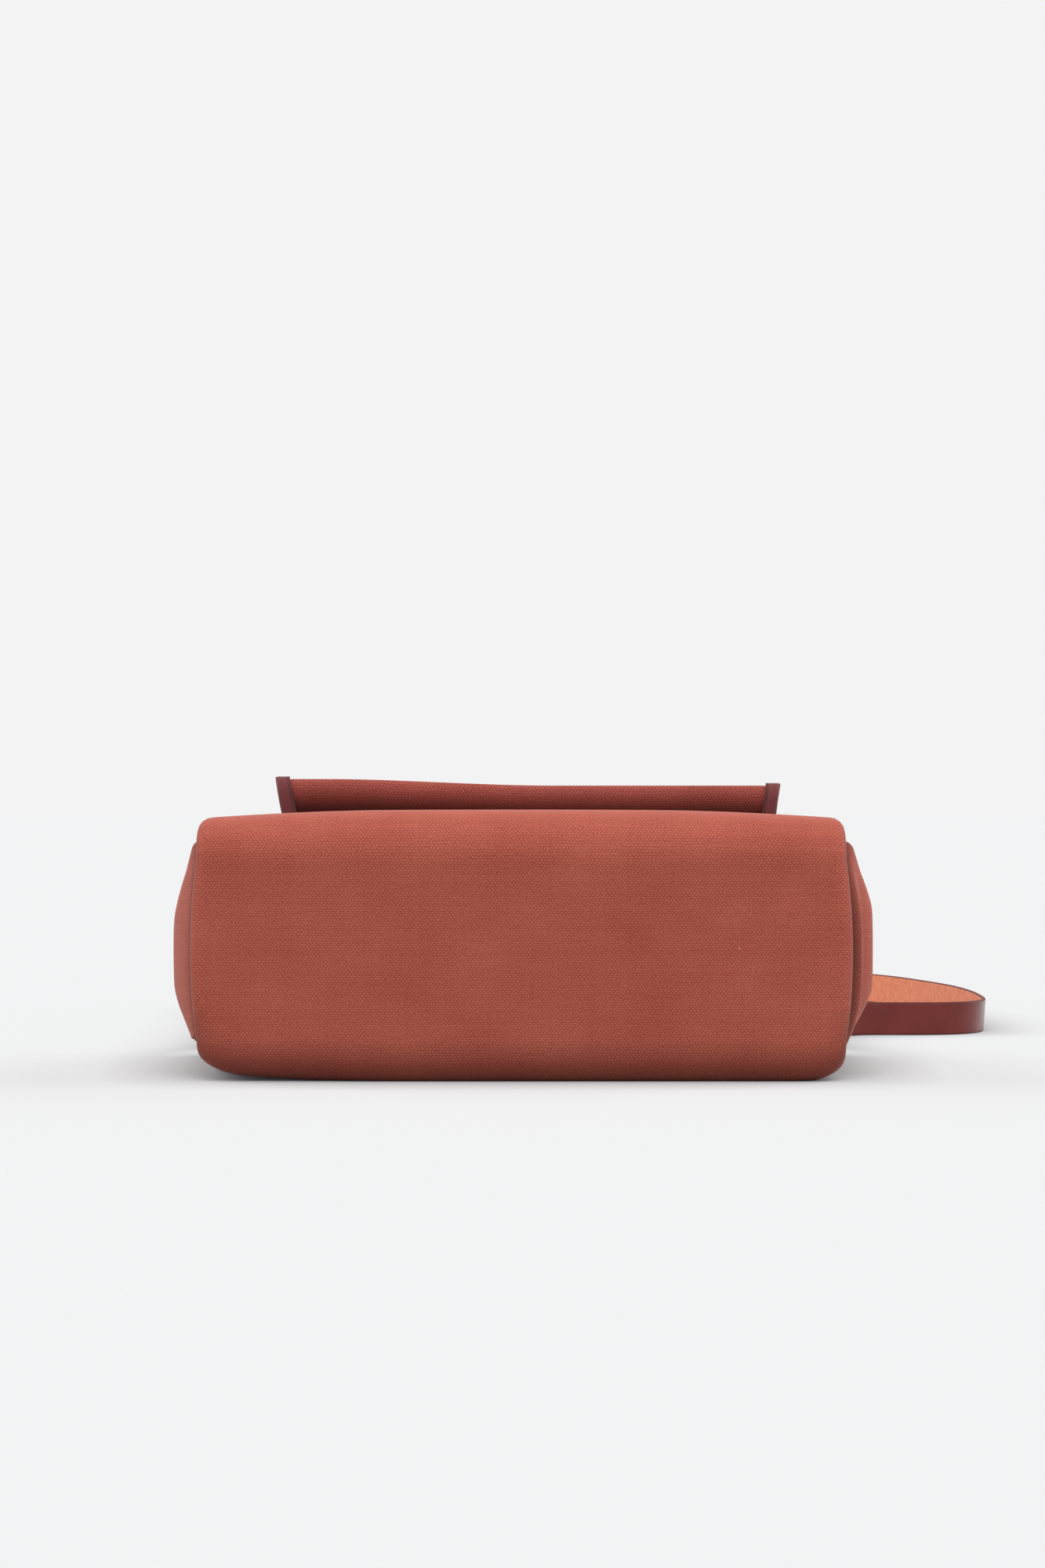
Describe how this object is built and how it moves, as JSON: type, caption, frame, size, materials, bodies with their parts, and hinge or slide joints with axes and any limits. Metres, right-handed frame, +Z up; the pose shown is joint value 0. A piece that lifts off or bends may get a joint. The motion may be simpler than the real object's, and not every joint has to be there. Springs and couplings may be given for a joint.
{
  "type": "brush roll case",
  "caption": "Wedge-shaped canvas brush case with gussets, a bound fold-over flap, a press stud and a leather shoulder strap.",
  "frame": {"origin": "on the resting face, at the middle of the back panel that the case lies on", "axes": "+X to the right along the case's width, +Y from the bottom end to the mouth, +Z up through the thickness"},
  "size_m": [0.3935, 0.6551, 0.1272],
  "materials": {
    "canvas": "brick red plain-weave cotton canvas",
    "tape": "dark red twill binding tape",
    "leather": "smooth red-brown leather, raw flesh side",
    "brass": "satin brass"
  },
  "bodies": {
    "case": {"body_panel": "canvas", "gusset_left": "canvas", "gusset_right": "canvas", "seam_tape_left": "tape", "seam_tape_right": "tape", "mouth_facing": "canvas", "brush_sleeve": "canvas", "sleeve_tape": "tape", "snap_socket": "brass", "snap_washer": "brass", "strap_patch_left": "leather", "strap_patch_right": "leather", "strap_post_left": "brass", "strap_post_right": "brass", "post_washer_left": "brass", "post_washer_right": "brass"},
    "flap_spine": {"flap_spine": "canvas", "spine_binding_left": "tape", "spine_binding_right": "tape"},
    "flap_cover": {"flap_cover": "canvas", "flap_binding_left": "tape", "flap_binding_right": "tape", "snap_stud": "brass", "snap_cap": "brass"},
    "strap": {"strap_short": "leather", "strap_long": "leather", "strap_stud_left": "brass", "strap_stud_right": "brass"}
  },
  "joints": [
    {"name": "flap_spine_crease", "type": "hinge", "parent": "case", "child": "flap_spine", "pos_m": [0, 0.0851, 0.0024], "axis": [1, 0, 0], "range_deg": [-76, 12]},
    {"name": "flap_cover_crease", "type": "hinge", "parent": "flap_spine", "child": "flap_cover", "pos_m": [0, 0.09513, 0.04958], "axis": [1, 0, 0], "range_deg": [-22, 44]},
    {"name": "strap_swing", "type": "hinge", "parent": "case", "child": "strap", "pos_m": [0, 0.067, 0.023], "axis": [1, 0, 0], "range_deg": [0, 175]}
  ]
}
